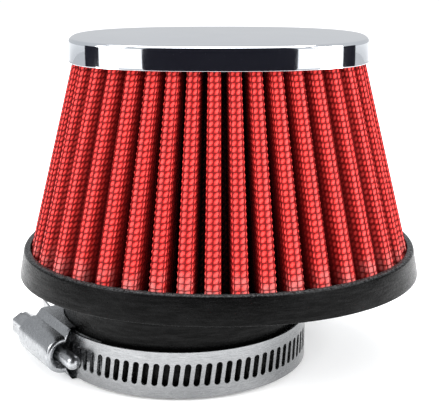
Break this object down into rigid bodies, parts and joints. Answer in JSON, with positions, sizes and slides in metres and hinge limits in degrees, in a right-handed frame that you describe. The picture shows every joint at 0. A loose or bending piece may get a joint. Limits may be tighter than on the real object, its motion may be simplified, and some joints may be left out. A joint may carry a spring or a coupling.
{
  "type": "clamp-on air filter",
  "caption": "Oval tapered clamp-on air filter: chrome end cap, pleated gauze between wire meshes, rubber base with an offset neck, and a worm-drive hose clamp.",
  "frame": {"origin": "on the neck's axis, in the plane of the neck's open end", "axes": "+Z along the neck's axis towards the end cap; +X along the oval's long axis, from the offset neck towards the body's centre line"},
  "size_m": [0.1172, 0.1012, 0.0921],
  "materials": {
    "chrome": "mirror plated, pressed steel",
    "potting": "matt cast urethane",
    "red_mesh": "satin epoxy coat",
    "gauze": "oiled cotton weave",
    "bare_mesh": "dull drawn wire",
    "seam": "rolled strip",
    "rubber": "moulded, fine grain",
    "band_steel": "brushed along the band",
    "housing_steel": "pressed, zinc plated",
    "screw_steel": "zinc plated"
  },
  "bodies": {
    "filter": {"chrome_cap": "chrome", "cap_potting": "potting", "outer_wire_mesh": "red_mesh", "cotton_gauze": "gauze", "inner_wire_mesh": "bare_mesh", "seam_strip": "seam", "rubber_base": "rubber"},
    "clamp": {"clamp_housing": "housing_steel", "clamp_saddle": "band_steel"},
    "band": {"clamp_band": "band_steel"},
    "screw": {"clamp_screw": "screw_steel"}
  },
  "joints": [
    {"name": "clamp_swivel", "type": "hinge", "parent": "filter", "child": "clamp", "pos_m": [0, 0, 0.00735], "axis": [0, 0, 1], "continuous": true},
    {"name": "screw_turn", "type": "hinge", "parent": "clamp", "child": "screw", "pos_m": [-0.033, -0.01983, 0.00735], "axis": [-0.515, 0.8572, 0], "range_deg": [-720, 360]},
    {"name": "band_take_up", "type": "hinge", "parent": "clamp", "child": "band", "pos_m": [0, 0, 0.00735], "axis": [0, 0, 1], "range_deg": [-9, 4.5]}
  ],
  "couplings": [
    {"joint": "band_take_up", "follows": "screw_turn", "ratio": 0.012417}
  ]
}
